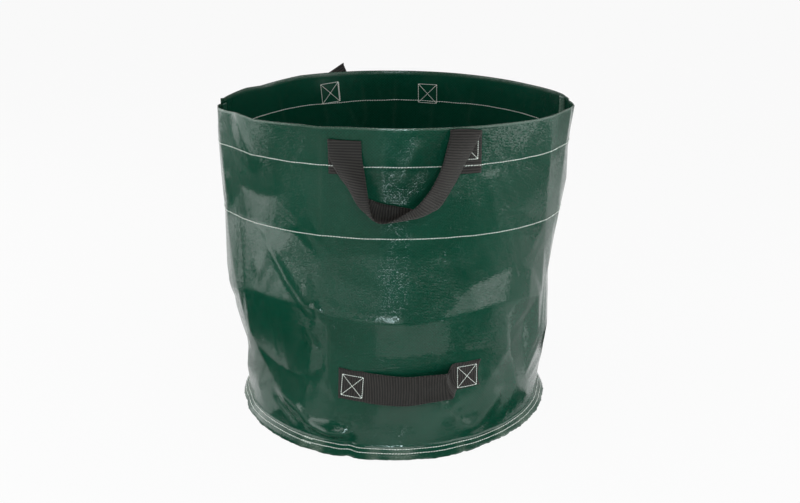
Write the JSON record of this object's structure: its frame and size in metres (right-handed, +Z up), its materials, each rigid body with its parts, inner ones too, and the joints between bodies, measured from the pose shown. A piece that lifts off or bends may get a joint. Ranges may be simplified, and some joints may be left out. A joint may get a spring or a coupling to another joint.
{
  "type": "garden waste bag",
  "caption": "Round, open, self-standing garden waste bag of dark green woven plastic sheet, with carrying loops of webbing at the rim and a tipping handle low on the front.",
  "frame": {"origin": "middle of the base's flat underside, where the bag rests on the ground", "axes": "+Z up, -Y out of the front, which carries the lower handle, +X to the right seen from the front"},
  "size_m": [0.5761, 0.5337, 0.5205],
  "materials": {
    "sheet": "glossy laminated woven plastic sheet, lightly creased",
    "lining": "same woven sheet, inner side, slightly duller",
    "webbing": "flat woven webbing with fine cross ribs, matt",
    "thread": "pale twisted sewing thread"
  },
  "bodies": {
    "bag": {"front_panel": "sheet", "back_panel": "sheet", "base_panel": "sheet", "front_cuff": "lining", "back_cuff": "lining", "left_seam_allowance": "lining", "right_seam_allowance": "lining", "upper_cuff_stitching": "thread", "lower_cuff_stitching": "thread", "inner_base_stitching": "thread", "outer_base_stitching": "thread", "front_handle_left_tab": "webbing", "front_handle_right_tab": "webbing", "back_handle_left_tab": "webbing", "back_handle_right_tab": "webbing", "lower_handle_left_tab": "webbing", "lower_handle_right_tab": "webbing", "front_handle_left_box_stitch": "thread", "front_handle_right_box_stitch": "thread", "back_handle_left_box_stitch": "thread", "back_handle_right_box_stitch": "thread", "lower_handle_left_box_stitch": "thread", "lower_handle_right_box_stitch": "thread"},
    "front_handle": {"front_handle_loop": "webbing"},
    "back_handle": {"back_handle_loop": "webbing"},
    "lower_handle": {"lower_handle_loop": "webbing"}
  },
  "joints": [
    {"name": "front_handle_swing", "type": "hinge", "parent": "bag", "child": "front_handle", "pos_m": [0.02127, -0.20591, 0.50552], "axis": [-0.9993, -0.0379, 0], "range_deg": [0, 175]},
    {"name": "back_handle_swing", "type": "hinge", "parent": "bag", "child": "back_handle", "pos_m": [-0.02749, 0.20203, 0.50551], "axis": [0.994, 0.1091, 0], "range_deg": [0, 175]},
    {"name": "lower_handle_pull", "type": "slide", "parent": "bag", "child": "lower_handle", "axis": [0, -1, 0], "range_m": [0, 0.015]}
  ]
}
